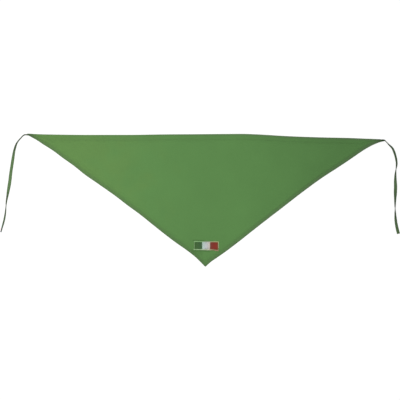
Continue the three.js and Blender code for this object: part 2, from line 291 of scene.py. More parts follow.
# Camera and light, in metres
CAMERA_HEIGHT = 2.4
CAMERA_PLACE = (-0.00088, 0.00021)
CAMERA_TURN = 0.819  # degrees, which puts the neck edge's right end lower in the picture
SENSOR = 36.0
VIEW_WIDTH = 0.8032
KEY_PLACE = (-0.30, 0.05, 0.75)
KEY_SIZE = 0.5
KEY_POWER = 4.0
KEY_COLOUR = (1.0, 0.965, 0.89)
FILL = 0.44
FILL_COLOUR = (0.955, 1.0, 0.99)
FILL_BELOW = 0.12  # from under the horizon, as off a shaded table
FLOOR_GLOW = 0.94
FLOOR_ALBEDO = 0.12
BACKDROP_GLOW = 1.1
STAGE_RADIUS = 9.0
STAGE_SIDES = 64
BACKDROP_TOP = 84  # degrees up, where a level cap closes it
BACKDROP_RINGS = 12
BACKDROP_SHARE = 0.98  # of the floor's radius
BACKDROP_SUNK = 0.05
HORIZON = (-0.2, 0.3)  # rise over which the fill grows to its full strength


class Green:
    """The twill's colours, as linear albedo, among them greens of painted shade for the corners,
    the folded edges and the standing tape.
    """

    CLOTH = (0.117, 0.262, 0.0745)
    TAPE = (0.112, 0.195, 0.082)
    SHADED_TAPE = (0.100, 0.128, 0.082)  # painted shade where it stands on its edge
    THREAD = (0.100, 0.215, 0.066)
    # painted shade of the corners
    SHADED_CORNER = (0.12, 0.2, 0.095)
    # painted shade of the folded edges, at the left and at the right
    EDGE_SHADE = (0.117, 0.213, 0.085)
    EDGE_SHADE_RIGHT = (0.140, 0.222, 0.108)
    WARM = (1.05, 0.99, 0.98)  # towards the left
    COOL = (0.955, 1.0, 1.035)


FLAG_LOW, FLAG_HIGH = (np.array(corner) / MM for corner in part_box("flag_border"))
FLAG_MIDDLE = (FLAG_LOW + FLAG_HIGH) / 2

# Painted shadows of creases that the flag's stitching draws in the cloth round it. Each is
# level, with its middle at x and y, half its length, how far it fades up and down, and how
# much it darkens the cloth.
CREASE_CORE = 0.4
CREASE_FADE = 2.0  # at its ends
CREASE_SHADOWS = [
    {"x": FLAG_LOW[0] + 9, "half": 11, "y": FLAG_HIGH[1] + 0.9, "reach": 2.0, "depth": 0.26},
    {"x": FLAG_LOW[0] + 15, "half": 18, "y": FLAG_LOW[1] - 1.7, "reach": 2.6, "depth": 0.22},
    {"x": FLAG_LOW[0] + 6, "half": 11, "y": FLAG_LOW[1] - 6.0, "reach": 7.0, "depth": 0.1},
]


def smooth_step(share):
    share = np.clip(share, 0, 1)
    return share * share * (3 - 2 * share)


def hump(distance, reach):
    """1 where the distance is nothing, down to 0 on both sides."""
    return np.exp(-((distance / reach) ** 2))


def run_along(points):
    """How far each point of a line lies along it."""
    steps = np.linalg.norm(np.diff(points, axis=0), axis=1)
    return np.concatenate([[0], np.cumsum(steps)])


def smooth_line(places, values):
    """A smooth line through a few points, as a function of the place."""
    places = np.asarray(places, float)
    values = np.asarray(values, float)
    slopes = np.gradient(values, places)

    def at(place):
        k = np.clip(np.searchsorted(places, place) - 1, 0, len(places) - 2)
        width = places[k + 1] - places[k]
        t = (place - places[k]) / width
        start = (1 + 2 * t) * (1 - t) ** 2 * values[k] + t * (1 - t) ** 2 * width * slopes[k]
        end = t * t * (3 - 2 * t) * values[k + 1] + t * t * (t - 1) * width * slopes[k + 1]
        return start + end

    return at


def wander(seed, shortest, longest, waves=14):
    """A smooth random height of about -1 to 1 over the cloth, the same on each run."""
    chance = np.random.default_rng(seed)
    lengths = chance.uniform(shortest, longest, waves)
    turns = chance.uniform(0, 2 * np.pi, waves)
    starts = chance.uniform(0, 2 * np.pi, waves)

    def at(x, y):
        total = 0
        for length, turn, start in zip(lengths, turns, starts):
            way = x * math.cos(turn) + y * math.sin(turn)
            total = total + np.sin(2 * np.pi * way / length + start)
        return total / math.sqrt(waves)

    return at


def read_outline():
    """The neck edge and the lower edge of the panel, column by column, from its solid."""
    points = np.array([v.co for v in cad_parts["panel"].data.vertices]) / MM
    columns = np.unique(points[:, 0].round(1))
    upper = []
    lower = []
    for column in columns:
        y = points[np.abs(points[:, 0] - column) < 0.2, 1]
        upper.append(y.max())
        lower.append(y.min())
    return columns, np.array(upper), np.array(lower)


COLUMNS, NECK_POINTS, LOW_POINTS = read_outline()
TIP_COLUMN = int(np.argmin(LOW_POINTS))
LEFT_X = COLUMNS[0]
RIGHT_X = COLUMNS[-1]
TIP_X = COLUMNS[TIP_COLUMN]
TIP_Y = LOW_POINTS[TIP_COLUMN]
LONG_EDGE = RIGHT_X - LEFT_X
CORNER_Y = NECK_POINTS[0]
DEPTH = CORNER_Y - TIP_Y
SIDE_SLOPE = 2 * DEPTH / LONG_EDGE
SIDE_COS = 1 / math.hypot(1, SIDE_SLOPE)

neck_edge = smooth_line(COLUMNS, NECK_POINTS)
left_edge = smooth_line(COLUMNS[: TIP_COLUMN + 1], LOW_POINTS[: TIP_COLUMN + 1])
right_edge = smooth_line(COLUMNS[TIP_COLUMN:], LOW_POINTS[TIP_COLUMN:])


def low_edge(x):
    """The two lower edges as one line, with the tip a little blunt."""
    left = left_edge(np.minimum(x, TIP_X))
    right = right_edge(np.maximum(x, TIP_X))
    from_tip = SIDE_SLOPE * np.abs(x - TIP_X)
    return np.where(x < TIP_X, left, right) + np.hypot(from_tip, TIP_BLUNT) - from_tip


def from_edges(x, y):
    """How far a point lies in from the neck edge and from the nearer lower edge."""
    return neck_edge(x) - y, (y - low_edge(x)) * SIDE_COS


def hem_widths(x):
    """Both hems, square to their edges, which narrow together towards the corners."""
    across = neck_edge(x) - low_edge(x)
    neck = np.minimum(NECK_HEM, HEM_MOST * across)
    side = np.minimum(SIDE_HEM, HEM_MOST * across * SIDE_COS)
    return neck, side


def on_hem(x, y):
    """1 where the cloth lies on a hem, down to 0 where it lies on the floor."""
    from_neck, from_side = from_edges(x, y)
    neck, side = hem_widths(x)
    off_neck = smooth_step((from_neck - neck) / RAMP)
    off_side = smooth_step((from_side - side) / RAMP)
    return 1 - off_neck * off_side


def stack_at(x):
    """Thickness of the folded edge, which grows at a corner where a tie is sewn in."""
    from_corner = np.minimum(x - LEFT_X, RIGHT_X - x)
    swelling = hump(np.maximum(from_corner, 0), CORNER_SWELLS)
    return HEM_STACK + (CORNER_STACK - HEM_STACK) * swelling


def swell_at(x, y):
    height = 0
    for swell in SWELLS:
        turn = math.radians(swell["turn"])
        right = x - LEFT_X - swell["along"] * LONG_EDGE
        up = y - CORNER_Y + swell["down"] * DEPTH
        lengthwise = (right * math.cos(turn) + up * math.sin(turn)) / (swell["length"] * DEPTH)
        sideways = (up * math.cos(turn) - right * math.sin(turn)) / (swell["reach"] * DEPTH)
        left = np.maximum(0, 1 - lengthwise**2 - sideways**2)
        height = height + SWELL * swell["height"] * left**2
    return height


def roll_at(x, y):
    """Height of the corners, which the ties roll up: the left one by its neck edge."""
    on_left = x < TIP_X
    inward = np.where(on_left, x - LEFT_X, RIGHT_X - x)
    share = np.maximum(0, 1 - np.maximum(inward, 0) / ROLL_REACH) ** 2
    slope = np.radians(np.where(on_left, LEFT_ROLL, RIGHT_ROLL) * share)
    from_low_side = np.where(on_left, y - low_edge(x), neck_edge(x) - y)
    return np.maximum(from_low_side, 0) * np.tan(slope)


def corner_shade_share(x):
    """Painted shade at each corner, where the cloth is gathered round its tie: most at the corner,
    down to 0.
    """
    most = np.where(x < TIP_X, LEFT_CORNER_SHADE, RIGHT_CORNER_SHADE)
    from_corner = np.maximum(np.minimum(x - LEFT_X, RIGHT_X - x), 0)
    return most * hump(from_corner, CORNER_SHADE)


def edge_shade_share(x, y):
    """Painted shade of the folded edges: 1 along the lower ones, less along the neck, down to 0."""
    from_neck, from_side = from_edges(x, y)
    low_rim = 1 - smooth_step(from_side / LOW_RIM - RIM_CORE)
    to_right = smooth_step((x - LEFT_X) / LONG_EDGE)
    neck_rim = 1 - smooth_step(from_neck / NECK_RIM - RIM_CORE)
    return np.maximum(low_rim, neck_rim * (NECK_RIM_LEFT + (1 - NECK_RIM_LEFT) * to_right))


slow_waves = wander(3, 45, 120)
soft_waves = wander(5, 18, 42)
puckers = wander(8, 6, 13)


def cloth_top(x, y):
    """Height of the cloth's face over the floor."""
    x = np.asarray(x, float)
    y = np.asarray(y, float)
    from_neck, from_side = from_edges(x, y)
    neck, side = hem_widths(x)
    level = FLAG_HIGH[1] + FLAG_MARGIN
    came_down = smooth_step((y - level) / LEVEL_BLEND)
    lift = 1 - (1 - on_hem(x, y)) * came_down
    from_flag = np.hypot((x - FLAG_MIDDLE[0]) / FLAG_SPREAD, y - FLAG_MIDDLE[1])
    flag_lift = FLAG_LIFT * (1 - smooth_step(from_flag / FLAG_REACH))
    near_hem = hump(from_neck - neck, NECK_PUCKERS) + hump(from_side - side, SIDE_PUCKERS)
    outside_flag = np.hypot(
        np.maximum(0, np.abs(x - FLAG_MIDDLE[0]) - (FLAG_HIGH[0] - FLAG_LOW[0]) / 2),
        np.maximum(0, np.abs(y - FLAG_MIDDLE[1]) - (FLAG_HIGH[1] - FLAG_LOW[1]) / 2),
    )
    by_flag = hump(outside_flag - FLAG_PUCKERS_OUT, FLAG_PUCKERS)
    rise = swell_at(x, y) + SLOW_WAVES * slow_waves(x, y) + SOFT_WAVES * soft_waves(x, y)
    rise = (rise + np.hypot(rise, RISE_BLEND)) / 2
    small = PUCKER * puckers(x, y) * np.minimum(1, near_hem + by_flag)
    seams = hump(from_neck - neck + SEAM_IN, SEAM_DIP_REACH)
    seams = seams + hump(from_side - side + SEAM_IN, SEAM_DIP_REACH)
    height = FLOOR_GAP + LAYER + (stack_at(x) - LAYER) * lift
    return height + rise + flag_lift + roll_at(x, y) + small - SEAM_DIP * np.minimum(1, seams)


# Shader maths

class Value:
    """A socket in a finish. Plain maths on it adds Math nodes."""

    def __init__(self, finish, socket):
        self.finish = finish
        self.socket = socket

    def math(self, operation, first, second):
        return self.finish.node("ShaderNodeMath", {"operation": operation}, {0: first, 1: second})

    def __add__(self, other):
        return self.math("ADD", self, other)

    def __radd__(self, other):
        return self.math("ADD", other, self)

    def __sub__(self, other):
        return self.math("SUBTRACT", self, other)

    def __rsub__(self, other):
        return self.math("SUBTRACT", other, self)

    def __mul__(self, other):
        return self.math("MULTIPLY", self, other)

    def __rmul__(self, other):
        return self.math("MULTIPLY", other, self)

    def __truediv__(self, other):
        return self.math("DIVIDE", self, other)

    def __rtruediv__(self, other):
        return self.math("DIVIDE", other, self)

    def wave(self):
        """The sine of whole turns."""
        return (self * (2 * math.pi)).math_one("SINE")

    def math_one(self, operation):
        return self.finish.node("ShaderNodeMath", {"operation": operation}, {0: self})

    def size(self):
        return self.math_one("ABSOLUTE")

    def over(self, low, high, first=0.0, last=1.0):
        """The first number below one value, the last above another, smooth between."""
        return self.finish.node(
            "ShaderNodeMapRange",
            {"interpolation_type": "SMOOTHSTEP"},
            {0: self, 1: low, 2: high, 3: first, 4: last},
        )


class Finish:
    """A material, or the light all round, made node by node."""

    def __init__(self, name, kept_in=None):
        self.material = (bpy.data.materials if kept_in is None else kept_in).new(name)
        self.material.use_nodes = True
        self.tree = self.material.node_tree
        self.tree.nodes.clear()

    def node(self, kind, settings=None, sockets=None, output=0):
        made = self.tree.nodes.new(kind)
        for setting, value in (settings or {}).items():
            setattr(made, setting, value)
        for socket, value in (sockets or {}).items():
            if isinstance(value, Value):
                self.tree.links.new(value.socket, made.inputs[socket])
            else:
                made.inputs[socket].default_value = value
        return Value(self, made.outputs[output] if made.outputs else None)

    def place(self):
        """Where a point is, in millimetres."""
        spot = self.node("ShaderNodeTexCoord", output=3)
        return self.node(
            "ShaderNodeVectorMath", {"operation": "SCALE"}, {0: spot, "Scale": 1 / MM}
        )

    def parts(self, vector):
        split = self.node("ShaderNodeSeparateXYZ", sockets={0: vector})
        return [Value(self, socket) for socket in split.socket.node.outputs]

    def attribute(self, name, output=2):
        """A value kept at each point of the mesh. Output 2 is a number and 1 a vector."""
        return self.node("ShaderNodeAttribute", {"attribute_name": name}, output=output)

    def grain(self, vector, size, detail=2.0):
        """Noise around 0 whose lumps are about that many millimetres long."""
        sockets = {"Vector": vector, "Scale": 1 / size, "Detail": detail}
        return self.node("ShaderNodeTexNoise", sockets=sockets) - 0.5

    def mix(self, share, first, second):
        rgba = [tuple(c) + (1.0,) if isinstance(c, tuple) else c for c in (first, second)]
        return self.node(
            "ShaderNodeMix", {"data_type": "RGBA"}, {0: share, 6: rgba[0], 7: rgba[1]}, output=2
        )

    def strip(self, x, y, crease_shadow):
        """1 along the painted shadow of a level crease, down to 0 beside its ends, above it and
        below it.
        """
        half = crease_shadow["half"]
        beside = (x - crease_shadow["x"]).size().over(half - CREASE_FADE, half + CREASE_FADE * 1.5)
        above = (y - crease_shadow["y"]).size().over(CREASE_CORE, crease_shadow["reach"])
        return (1 - beside) * (1 - above)

    def shaded(self, colour, shade):
        """A colour times a number."""
        return self.node(
            "ShaderNodeVectorMath", {"operation": "SCALE"}, {0: colour, "Scale": shade}
        )

    def bump(self, height, depth, strength=1.0):
        """A relief of that many millimetres."""
        sockets = {"Strength": strength, "Distance": depth * MM, "Height": height}
        return self.node("ShaderNodeBump", sockets=sockets)

    def done(self, **sockets):
        names = {name.replace("_", " "): value for name, value in sockets.items()}
        shader = self.node("ShaderNodeBsdfPrincipled", sockets=names)
        self.node("ShaderNodeOutputMaterial", sockets={"Surface": shader})
        return self.material


def twill(finish, across, along):
    """Relief of a fine twill, 0 to 1, with its threads and its diagonal ribs."""
    ribs = ((across + along) / RIB_PITCH).wave() * 0.5 + 0.5
    threads = (across / THREAD_PITCH).wave() * 0.5 + 0.5
    return ribs * 0.7 + threads * ribs * 0.3


def cloth_finish():
    finish = Finish("green_twill")
    place = finish.place()
    x, y, _ = finish.parts(place)
    bend = finish.grain(place, 9.0)
    weave = twill(finish, x + bend * 0.5, y + bend * 0.5)
    fibres = finish.grain(place, 0.5, 3.0)
    slubs = finish.grain(place, 5.0, 3.0)
    patches = finish.grain(place, 55.0)
    hem = finish.attribute("hem")
    corner = finish.attribute("corner")
    mottle = 1 + finish.grain(place, 7.0) * 1.6
    rim = finish.attribute("rim") * mottle
    shade = 1 + patches * 0.10 + slubs * 0.05 + fibres * 0.16 + (weave - 0.5) * 0.12
    # Painted shade: darker over the hems, at the corners and along the folded edges.
    shade = shade * (1 - hem * 0.035) * (1 - corner * 0.45) * (1 - rim * 0.1)
    # Painted light: a little lighter across part of the face.
    lit = x.over(*LIT_FROM) * (1 - x.over(*LIT_TO))
    shade = shade * (1 + lit * LIT)
    # Painted shadows of the creases round the flag.
    for crease_shadow in CREASE_SHADOWS:
        shade = shade * (1 - finish.strip(x, y, crease_shadow) * crease_shadow["depth"])
    cool = (finish.grain(place, 42.0) * 0.8 + x / COOL_REACH).over(*COOL_TURNS)
    warm_green = tuple(Green.CLOTH[k] * Green.WARM[k] for k in range(3))
    cool_green = tuple(Green.CLOTH[k] * Green.COOL[k] for k in range(3))
    green = finish.mix(cool, warm_green, cool_green)
    # Painted shade: the folded edges take a greyer, mottled green.
    edge_shade = finish.mix(x.over(*EDGE_SHADE_TURNS), Green.EDGE_SHADE, Green.EDGE_SHADE_RIGHT)
    green = finish.mix(rim * 0.65, green, edge_shade)
    # Painted shade: the corners take a greyer, darker green.
    green = finish.mix(corner * 0.6, green, Green.SHADED_CORNER)
    return finish.done(
        Base_Color=finish.shaded(green, shade),
        Roughness=0.86 + fibres * 0.1,
        Normal=finish.bump(weave + fibres * 0.5, WEAVE_RELIEF, 0.6),
        Sheen_Weight=0.12,
        **BODY_SHEEN,
    )


def tape_finish():
    finish = Finish("green_tape")
    along, across, _ = finish.parts(finish.attribute("lay", output=1))
    place = finish.place()
    weave = twill(finish, across, along)
    fibres = finish.grain(place, 0.45, 3.0)
    slubs = finish.grain(place, 6.0, 3.0)
    edge = finish.attribute("edge")
    x, _, _ = finish.parts(place)
    shade = 1 + slubs * 0.16 + fibres * 0.18 + (weave - 0.5) * 0.14
    # Painted shade where the tie stands on its edge.
    stands = finish.attribute("stands")
    # Painted light: the ties are lighter towards the left.
    shade = shade * (1 - edge * 0.15) * (1.07 - x / TAPE_FADES) * (1 - stands * 0.3)
    green = finish.mix(stands * 0.8, Green.TAPE, Green.SHADED_TAPE)
    return finish.done(
        Base_Color=finish.shaded(green, shade),
        Roughness=0.88 + fibres * 0.08,
        Normal=finish.bump(weave + fibres * 0.5, WEAVE_RELIEF, 0.6),
        Sheen_Weight=0.1,
        **BODY_SHEEN,
    )


def thread_finish(name, roughness, gloss):
    """Twisted thread. Each one has its own colour, which on the tacks and the tie stitches holds
    painted shade.
    """
    finish = Finish(name)
    along, around, _ = finish.parts(finish.attribute("lay", output=1))
    plies = (along / PLY_PITCH + around * 2).wave() * 0.5 + 0.5
    fibres = finish.grain(finish.place(), 0.3, 2.0)
    shade = 0.88 + plies * 0.18 + fibres * 0.12
    return finish.done(
        Base_Color=finish.shaded(finish.attribute("dye_and_shade", output=1), shade),
        Roughness=roughness + fibres * 0.1,
        Normal=finish.bump(plies, PLY_RELIEF, 0.7),
        Specular_IOR_Level=gloss,
        Sheen_Weight=0.1,
    )


# Meshes

def add_piece(name, points, faces, look, replaced=(), values=None):
    """A piece of the neckerchief from points in millimetres."""
    mesh = bpy.data.meshes.new(name)
    mesh.from_pydata((np.asarray(points) * MM).tolist(), [], faces)
    mesh.polygons.foreach_set("use_smooth", [True] * len(mesh.polygons))
    for key, value in (values or {}).items():
        value = np.asarray(value, np.float32)
        vector = value.ndim == 2
        kept = mesh.attributes.new(key, "FLOAT_VECTOR" if vector else "FLOAT", "POINT")
        kept.data.foreach_set("vector" if vector else "value", value.ravel())
    mesh.materials.append(look)
    mesh.validate()
    piece = bpy.data.objects.new(name, mesh)
    bpy.context.scene.collection.objects.link(piece)
    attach(piece, "root")
    if replaced:
        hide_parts(*replaced)
    return piece


def quads(first, second, third, fourth):
    return np.stack([first, second, third, fourth], -1).reshape(-1, 4).tolist()


def closed_sheet(upper, lower):
    """Points and faces of a closed sheet between two grids of points."""
    columns, rows = upper.shape[:2]
    points = np.concatenate([upper.reshape(-1, 3), lower.reshape(-1, 3)])
    above = np.arange(columns * rows).reshape(columns, rows)
    below = above + columns * rows
    faces = quads(above[:-1, :-1], above[:-1, 1:], above[1:, 1:], above[1:, :-1])
    faces += quads(below[:-1, :-1], below[1:, :-1], below[1:, 1:], below[:-1, 1:])
    faces += quads(above[0, :-1], below[0, :-1], below[0, 1:], above[0, 1:])
    faces += quads(above[-1, 1:], below[-1, 1:], below[-1, :-1], above[-1, :-1])
    faces += quads(above[:-1, -1], below[:-1, -1], below[1:, -1], above[1:, -1])
    faces += quads(above[1:, 0], below[1:, 0], below[:-1, 0], above[:-1, 0])
    return points, faces


def lofted(rings):
    """Points and faces of a closed body through rings of points, with flat ends."""
    count, sides = rings.shape[:2]
    index = np.arange(count * sides).reshape(count, sides)
    ahead = np.roll(index, -1, 1)
    faces = quads(index[:-1], ahead[:-1], ahead[1:], index[1:])
    faces.append(index[0, ::-1].tolist())
    faces.append(index[-1].tolist())
    return rings.reshape(-1, 3), faces


def unit(vectors):
    return vectors / np.maximum(np.linalg.norm(vectors, axis=-1, keepdims=True), 1e-9)


class ThreadWork:
    """Many threads gathered into one mesh, with where each point lies along and round them."""

    def __init__(self):
        self.points = []
        self.faces = []
        self.lay = []
        self.dye_and_shade = []
        self.count = 0

    def add(self, line, thickness, dye_and_shade, sides=6, flat=1.0, up=(0, 0, 1)):
        """A thread along a line. Flat is its height as a share of its width."""
        line = np.asarray(line, float)
        tangent = unit(np.gradient(line, axis=0))
        sideways = unit(np.cross(np.asarray(up, float), tangent))
        upward = np.cross(tangent, sideways)
        turns = np.arange(sides) / sides
        circle = 2 * np.pi * turns
        reach = np.full(len(line), thickness / 2)
        reach[[0, -1]] *= THREAD_TAPER
        across = (reach[:, None] * np.cos(circle))[..., None] * sideways[:, None]
        high = (flat * reach[:, None] * np.sin(circle))[..., None] * upward[:, None]
        rings = line[:, None] + across + high
        points, faces = lofted(rings)
        lay = np.zeros(rings.shape)
        lay[..., 0] = run_along(line)[:, None]
        lay[..., 1] = turns
        self.add_body(points, faces, dye_and_shade, lay.reshape(-1, 3))

    def add_body(self, points, faces, dye_and_shade, lay=None):
        self.points.append(points)
        self.faces += [[k + self.count for k in face] for face in faces]
        self.count += len(points)
        self.lay.append(np.zeros((len(points), 3)) if lay is None else lay)
        self.dye_and_shade.append(np.tile(dye_and_shade, (len(points), 1)))

    def piece(self, name, look, slot, replaced=()):
        points = np.concatenate(self.points)
        values = {"lay": np.concatenate(self.lay), "dye_and_shade": np.concatenate(self.dye_and_shade)}
        return add_piece(name, points, self.faces, look, replaced, values)


# The panel and its hems

def cloth_columns():
    left = np.linspace(LEFT_X, TIP_X, round((TIP_X - LEFT_X) / COLUMN_STEP))
    right = np.linspace(TIP_X, RIGHT_X, round((RIGHT_X - TIP_X) / COLUMN_STEP))
    return np.concatenate([left, right[1:]])


def fold(x, y, way, stretch, rising):
    """The rounded edge of each column, from its start on the face round to its lip below."""
    step = 0.3
    slope = (cloth_top(x, y + step / 2) - cloth_top(x, y - step / 2)) / step
    radius = stack_at(x) / 2
    lean = np.arctan(slope)
    nothing = np.zeros_like(x)
    outward = np.stack([nothing, way * np.cos(lean), way * np.sin(lean)], -1)
    normal = np.stack([nothing, -np.sin(lean), np.cos(lean)], -1)
    start = np.stack([x, y, cloth_top(x, y)], -1)
    centre = start - radius[:, None] * normal
    rows = []
    for turn in np.linspace(0, np.pi, FOLD_STEPS)[1:]:
        across = (radius * stretch * math.sin(turn))[:, None] * outward
        rows.append(centre + radius[:, None] * math.cos(turn) * normal + across)
    rows.append(rows[-1] - LIP * outward)
    return rows[::-1] if rising else rows


def edge_rows(start, way, places, usable):
    """Rows in from a fold, each at its place, or at its share of the cloth where that is less."""
    shares = ROWS_REACH * np.arange(len(places)) / (len(places) - 1)
    return [start + way * np.minimum(k, share * usable) for k, share in zip(places, shares)]


def make_panel(look):
    x = cloth_columns()
    top = neck_edge(x)
    low = low_edge(x)
    radius = stack_at(x) / 2
    slope = np.gradient(low, x)
    stretch = np.hypot(1, slope)
    first = top - radius
    last = low + radius * stretch
    usable = first - last
    upper = edge_rows(first, -1, NECK_ROWS, usable)
    lower = edge_rows(last, 1, np.array(SIDE_ROWS) / SIDE_COS, usable)
    between = lower[-1] - upper[-1]
    middle = [upper[-1] + between * k / MIDDLE_ROWS for k in range(1, MIDDLE_ROWS)]
    rows = upper + middle + lower[::-1]
    face = [np.stack([x, y, cloth_top(x, y)], -1) for y in rows]
    even = np.ones_like(x)
    face = fold(x, first, 1, even, True) + face + fold(x, last, -1, stretch, False)
    outer = np.stack(face, 1)
    normal = unit(np.cross(np.gradient(outer, axis=1), np.gradient(outer, axis=0)))
    inner = outer - LAYER * normal
    points, faces = closed_sheet(outer, inner)
    # Masks of painted shade: over the hems, at the corners and along the folded edges.
    values = {
        "hem": on_hem(points[:, 0], points[:, 1]),
        "corner": corner_shade_share(points[:, 0]),
        "rim": edge_shade_share(points[:, 0], points[:, 1]),
    }
    return add_piece("cloth_panel", points, faces, look, ["panel"], values)


def hem_ring(width, start, height):
    """Section of a turned hem, in from its start: two layers with their fold at the inner end."""
    radius = height / 2
    turns = np.linspace(np.pi / 2, -np.pi / 2, FOLD_STEPS)
    inner = [(width - radius + radius * math.cos(t), radius * math.sin(t)) for t in turns]
    middle = (start + width) / 2
    outer = [(start, -radius), (start, -radius * 0.1), (start + HEM_CUT, 0)]
    outer += [(start, radius * 0.1), (start, radius)]
    return [(middle, radius)] + inner + [(middle, -radius)] + outer


def make_hem(name, x, edge, way, width, stretch, look, node):
    """A hem under an edge. Way is +1 where the cloth lies below the edge and -1 above it."""
    height = HEM_STACK - LAYER - 2 * HEM_CLEARANCE
    rings = []
    for k in range(len(x)):
        start = (stack_at(x[k]) / 2 + LIP * HEM_IN_FOLD) * stretch[k]
        section = hem_ring(width[k] * stretch[k], start, height)
        y = np.array([edge[k] - way * inward for inward, _ in section])
        z = cloth_top(np.full(len(y), x[k]), y) - LAYER - HEM_CLEARANCE - height / 2
        z = z + np.array([through for _, through in section])
        ring = np.stack([np.full(len(y), x[k]), y, z], -1)
        rings.append(ring if way < 0 else ring[::-1])
    points, faces = lofted(np.array(rings))
    # The hem's own surface takes the painted shade of the hems.
    hem = np.ones(len(points))
    return add_piece(name, points, faces, look, [node], {"hem": hem})


def make_hems(look):
    whole = np.arange(LEFT_X + HEM_START, RIGHT_X - HEM_START, HEM_STEP)
    left = np.arange(LEFT_X + HEM_START, TIP_X - HEM_END, HEM_STEP)
    right = np.arange(RIGHT_X - HEM_START, TIP_X + HEM_END, -HEM_STEP)[::-1]
    neck_width, _ = hem_widths(whole)
    even = np.ones_like(whole)
    neck = make_hem("neck_hem_fold", whole, neck_edge(whole), 1, neck_width, even, look, "neck_hem")
    pieces = [neck]
    for name, x, node in (
        ("left_hem_fold", left, "hem_left"),
        ("right_hem_fold", right, "hem_right"),
    ):
        stretch = np.hypot(1, np.gradient(low_edge(x), x))
        pieces.append(make_hem(name, x, low_edge(x), -1, hem_widths(x)[1], stretch, look, node))
    return pieces


# Stitches along the hems

def varied(colour, most, chance):
    """A colour a little lighter or darker, as no two stitches are the same."""
    return np.array(colour) * (1 + most * chance.uniform(-1, 1))


def even_walk(x, y, step):
    """Points at even steps along a line."""
    run = run_along(np.stack([x, y], -1))
    marks = np.linspace(0, run[-1], max(2, round(run[-1] / step)) + 1)
    return np.interp(marks, run, x), np.interp(marks, run, y)


def sew(work, x, y, height_at, chance, face=1):
    """A row of stitches through points on the cloth. Face is -1 for the underside."""
    share = np.array([0.03, 0.12, 0.3, 0.5, 0.7, 0.88, 0.97])
    bow = STITCH_RISE * np.array([0, 0.3, 1, 1, 1, 0.3, 0])
    bow[[0, -1]] = -STITCH_SINK
    for k in range(len(x) - 1):
        px = x[k] + (x[k + 1] - x[k]) * share
        py = y[k] + (y[k + 1] - y[k]) * share
        pz = height_at(px, py) + face * bow
        dye_and_shade = varied(Green.THREAD, SHADE_CHANGE, chance)
        work.add(np.stack([px, py, pz], -1), SEWING_THREAD, dye_and_shade)


def seam_lines():
    """Where the hems are stitched, as lines over the cloth."""
    first = LEFT_X + SEAM_START
    last = RIGHT_X - SEAM_START
    x = np.linspace(first, last, 400)
    lines = [(x, neck_edge(x) - hem_widths(x)[0] + SEAM_IN)]
    for start, end in ((first, TIP_X - SEAM_END), (TIP_X + SEAM_END, last)):
        x = np.linspace(start, end, 300)
        lines.append((x, low_edge(x) + (hem_widths(x)[1] - SEAM_IN) / SIDE_COS))
    return lines


def under_hem(x, y):
    """Height of the hem's underside."""
    return cloth_top(x, y) - HEM_STACK - 0.02


def make_hem_stitches(look):
    chance = np.random.default_rng(21)
    work = ThreadWork()
    for x, y in seam_lines():
        px, py = even_walk(x, y, STITCH)
        sew(work, px, py, cloth_top, chance)
        sew(work, px + STITCH / 2, py, under_hem, chance, face=-1)
    return work.piece("hem_stitches", look, "cloth")


# Ties

def tie_section():
    """A folded tape: a closed fold at one side, two lips at the other, stitched near the lips."""
    half = TIE_WIDTH / 2
    thick = TIE_THICKNESS / 2
    lip = thick / 2
    points = [(half - lip - CLEFT, 0)]
    for angle in (-55, -15, 25, 60, 90):
        turn = math.radians(angle)
        points.append((half - lip + lip * math.cos(turn), lip + lip * math.sin(turn)))
    upper = [(half - row["inward"], thick + row["rise"]) for row in TIE_FACE]
    points += upper
    for angle in (110, 135, 160, 180, 200, 225, 250):
        turn = math.radians(angle)
        points.append((-half + thick + thick * math.cos(turn), thick * math.sin(turn)))
    points += [(across, -through) for across, through in reversed(upper)]
    for angle in (-90, -60, -25, 15, 55):
        turn = math.radians(angle)
        points.append((half - lip + lip * math.cos(turn), -lip + lip * math.sin(turn)))
    return np.array(points)


def corner_at(side):
    return LEFT_X if side < 0 else RIGHT_X


def tie_route(rows, length, side):
    """Points and turns of a tie every step along its line, from its corner to its cut end."""
    place = np.array([[side * row["out"], -row["down"]] for row in rows]) * length
    for _ in range(3):  # until the smooth line has the tie's length
        run = run_along(place)
        fine = np.linspace(0, run[-1], 1500)
        line = np.stack([smooth_line(run, place[:, k])(fine) for k in (0, 1)], -1)
        place = place * length / run_along(line)[-1]
    run = run_along(place)
    at = np.arange(0, run[-1] + TIE_STEP / 2, TIE_STEP)
    at[-1] = run[-1]
    corner_x = corner_at(side)
    corner_y = (neck_edge(corner_x) + low_edge(corner_x)) / 2
    tuck = ROOT_TUCK * (1 - smooth_step(at / ROOT_OPENS))
    from_corner = TIE_GAP + TIE_THICKNESS / 2 - tuck
    x = smooth_line(run, place[:, 0])(at) + corner_x + side * from_corner
    y = smooth_line(run, place[:, 1])(at) + corner_y
    turn = side * smooth_line(run, [row["turn"] for row in rows])(at)
    return at, x, y, np.radians(turn)


